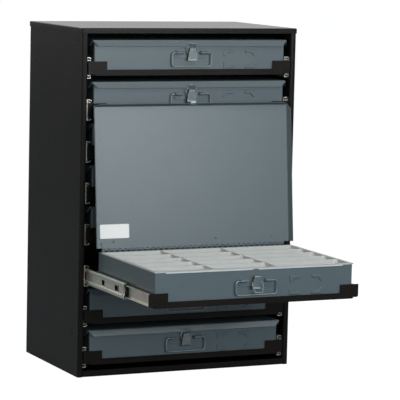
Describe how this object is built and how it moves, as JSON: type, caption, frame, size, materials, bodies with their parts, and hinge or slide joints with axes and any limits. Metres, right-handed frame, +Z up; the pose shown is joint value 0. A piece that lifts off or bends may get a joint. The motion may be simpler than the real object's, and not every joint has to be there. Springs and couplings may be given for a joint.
{
  "type": "tray rack",
  "caption": "Sheet-steel cabinet of ball-bearing drawers, each carrying a hinged-lid steel box with bail and draw latch; one drawer pulled out and open.",
  "frame": {"origin": "middle of the cabinet's underside", "axes": "+Z up, the drawers pull out towards -Y, +X to the right for someone who faces the front"},
  "size_m": [0.508, 0.6765, 0.7493],
  "materials": {
    "black_powder_coat": "black powder coat, fine texture",
    "carrier_black": "black paint, semi-matte",
    "zinc_plate": "zinc-plated rolled steel",
    "grey_enamel": "blue-grey baked enamel",
    "pale_plastic": "moulded pale grey plastic",
    "bright_wire": "bright zinc-plated wire and pressings"
  },
  "bodies": {
    "rack": {"left_side": "black_powder_coat", "right_side": "black_powder_coat", "top": "black_powder_coat", "base": "black_powder_coat", "back": "black_powder_coat"},
    "drawer_1": {"carrier_1": "carrier_black", "box_1": "grey_enamel", "lid_1": "grey_enamel"},
    "middle_1": {"slide_middle_left_1": "zinc_plate", "slide_middle_right_1": "zinc_plate"},
    "bail_1": {"bail_1": "bright_wire"},
    "lever_1": {"lever_1": "bright_wire"},
    "loop_1": {"loop_1": "bright_wire"},
    "drawer_2": {"carrier_2": "carrier_black", "box_2": "grey_enamel", "lid_2": "grey_enamel", "latch_2": "bright_wire"},
    "bail_2": {"bail_2": "bright_wire"},
    "drawer_3": {"carrier_3": "carrier_black", "box_3": "grey_enamel", "lid_3": "grey_enamel", "latch_3": "bright_wire"},
    "bail_3": {"bail_3": "bright_wire"},
    "drawer_4": {"carrier_4": "carrier_black", "box_4": "grey_enamel", "lid_4": "grey_enamel", "latch_4": "bright_wire"},
    "bail_4": {"bail_4": "bright_wire"},
    "drawer_5": {"carrier_5": "carrier_black", "box_5": "grey_enamel", "lid_5": "grey_enamel", "latch_5": "bright_wire"},
    "bail_5": {"bail_5": "bright_wire"},
    "drawer_6": {"carrier_6": "carrier_black", "box_6": "grey_enamel", "insert_6": "pale_plastic"},
    "middle_6": {"slide_middle_left_6": "zinc_plate", "slide_middle_right_6": "zinc_plate"},
    "bail_6": {"bail_6": "bright_wire"},
    "lever_6": {"lever_6": "bright_wire"},
    "loop_6": {"loop_6": "bright_wire"},
    "drawer_7": {"carrier_7": "carrier_black", "box_7": "grey_enamel", "lid_7": "grey_enamel"},
    "middle_7": {"slide_middle_left_7": "zinc_plate", "slide_middle_right_7": "zinc_plate"},
    "bail_7": {"bail_7": "bright_wire"},
    "lever_7": {"lever_7": "bright_wire"},
    "loop_7": {"loop_7": "bright_wire"},
    "drawer_8": {"carrier_8": "carrier_black", "box_8": "grey_enamel", "lid_8": "grey_enamel"},
    "middle_8": {"slide_middle_left_8": "zinc_plate", "slide_middle_right_8": "zinc_plate"},
    "bail_8": {"bail_8": "bright_wire"},
    "lever_8": {"lever_8": "bright_wire"},
    "loop_8": {"loop_8": "bright_wire"},
    "lid_6": {"lid_6": "grey_enamel"}
  },
  "joints": [
    {"name": "drawer_1_slide", "type": "slide", "parent": "rack", "child": "drawer_1", "axis": [0, -1, 0], "range_m": [0, 0.343]},
    {"name": "middle_1_slide", "type": "slide", "parent": "rack", "child": "middle_1", "axis": [0, -1, 0], "range_m": [0, 0.221]},
    {"name": "bail_1_hinge", "type": "hinge", "parent": "drawer_1", "child": "bail_1", "pos_m": [0, -0.16125, 0.6964], "axis": [-1, 0, 0], "range_deg": [0, 90]},
    {"name": "lever_1_hinge", "type": "hinge", "parent": "drawer_1", "child": "lever_1", "pos_m": [0, -0.16055, 0.7022], "axis": [-1, 0, 0], "range_deg": [0, 80]},
    {"name": "loop_1_hinge", "type": "hinge", "parent": "lever_1", "child": "loop_1", "pos_m": [0, -0.16395, 0.694], "axis": [1, 0, 0], "range_deg": [0, 60]},
    {"name": "drawer_2_slide", "type": "slide", "parent": "rack", "child": "drawer_2", "axis": [0, -1, 0], "range_m": [0, 0.002]},
    {"name": "bail_2_hinge", "type": "hinge", "parent": "drawer_2", "child": "bail_2", "pos_m": [0, -0.16125, 0.6075], "axis": [-1, 0, 0], "range_deg": [0, 3]},
    {"name": "drawer_3_slide", "type": "slide", "parent": "rack", "child": "drawer_3", "axis": [0, -1, 0], "range_m": [0, 0.0015]},
    {"name": "bail_3_hinge", "type": "hinge", "parent": "drawer_3", "child": "bail_3", "pos_m": [0, -0.16125, 0.5186], "axis": [-1, 0, 0], "range_deg": [0, 20]},
    {"name": "drawer_4_slide", "type": "slide", "parent": "rack", "child": "drawer_4", "axis": [0, -1, 0], "range_m": [0, 0.0105]},
    {"name": "bail_4_hinge", "type": "hinge", "parent": "drawer_4", "child": "bail_4", "pos_m": [0, -0.16125, 0.4297], "axis": [-1, 0, 0], "range_deg": [0, 38]},
    {"name": "drawer_5_slide", "type": "slide", "parent": "rack", "child": "drawer_5", "axis": [0, -1, 0], "range_m": [0, 0.0195]},
    {"name": "bail_5_hinge", "type": "hinge", "parent": "drawer_5", "child": "bail_5", "pos_m": [0, -0.16125, 0.3408], "axis": [-1, 0, 0], "range_deg": [0, 62]},
    {"name": "drawer_6_slide", "type": "slide", "parent": "rack", "child": "drawer_6", "axis": [0, 1, 0], "range_m": [0, 0.002]},
    {"name": "middle_6_slide", "type": "slide", "parent": "rack", "child": "middle_6", "axis": [0, 1, 0], "range_m": [0, 0.0013]},
    {"name": "bail_6_hinge", "type": "hinge", "parent": "drawer_6", "child": "bail_6", "pos_m": [0, -0.50425, 0.2519], "axis": [-1, 0, 0], "range_deg": [0, 90]},
    {"name": "lever_6_hinge", "type": "hinge", "parent": "drawer_6", "child": "lever_6", "pos_m": [0, -0.50355, 0.2577], "axis": [-1, 0, 0], "range_deg": [0, 80]},
    {"name": "loop_6_hinge", "type": "hinge", "parent": "lever_6", "child": "loop_6", "pos_m": [0, -0.50695, 0.2495], "axis": [-1, 0, 0], "range_deg": [0, 90]},
    {"name": "drawer_7_slide", "type": "slide", "parent": "rack", "child": "drawer_7", "axis": [0, -1, 0], "range_m": [0, 0.343]},
    {"name": "middle_7_slide", "type": "slide", "parent": "rack", "child": "middle_7", "axis": [0, -1, 0], "range_m": [0, 0.221]},
    {"name": "bail_7_hinge", "type": "hinge", "parent": "drawer_7", "child": "bail_7", "pos_m": [0, -0.16125, 0.163], "axis": [-1, 0, 0], "range_deg": [0, 90]},
    {"name": "lever_7_hinge", "type": "hinge", "parent": "drawer_7", "child": "lever_7", "pos_m": [0, -0.16055, 0.1688], "axis": [-1, 0, 0], "range_deg": [0, 80]},
    {"name": "loop_7_hinge", "type": "hinge", "parent": "lever_7", "child": "loop_7", "pos_m": [0, -0.16395, 0.1606], "axis": [1, 0, 0], "range_deg": [0, 60]},
    {"name": "drawer_8_slide", "type": "slide", "parent": "rack", "child": "drawer_8", "axis": [0, -1, 0], "range_m": [0, 0.343]},
    {"name": "middle_8_slide", "type": "slide", "parent": "rack", "child": "middle_8", "axis": [0, -1, 0], "range_m": [0, 0.221]},
    {"name": "bail_8_hinge", "type": "hinge", "parent": "drawer_8", "child": "bail_8", "pos_m": [0, -0.16125, 0.0741], "axis": [-1, 0, 0], "range_deg": [0, 90]},
    {"name": "lever_8_hinge", "type": "hinge", "parent": "drawer_8", "child": "lever_8", "pos_m": [0, -0.16055, 0.0799], "axis": [-1, 0, 0], "range_deg": [0, 80]},
    {"name": "loop_8_hinge", "type": "hinge", "parent": "lever_8", "child": "loop_8", "pos_m": [0, -0.16395, 0.0717], "axis": [1, 0, 0], "range_deg": [0, 60]},
    {"name": "lid_6_hinge", "type": "hinge", "parent": "drawer_6", "child": "lid_6", "pos_m": [0, -0.19565, 0.2798], "axis": [1, 0, 0], "range_deg": [0, 95.73]}
  ],
  "couplings": [
    {"joint": "middle_1_slide", "follows": "drawer_1_slide", "ratio": 0.644},
    {"joint": "loop_1_hinge", "follows": "lever_1_hinge", "ratio": 0.75},
    {"joint": "middle_6_slide", "follows": "drawer_6_slide", "ratio": 0.644},
    {"joint": "middle_7_slide", "follows": "drawer_7_slide", "ratio": 0.644},
    {"joint": "loop_7_hinge", "follows": "lever_7_hinge", "ratio": 0.75},
    {"joint": "middle_8_slide", "follows": "drawer_8_slide", "ratio": 0.644},
    {"joint": "loop_8_hinge", "follows": "lever_8_hinge", "ratio": 0.75}
  ]
}
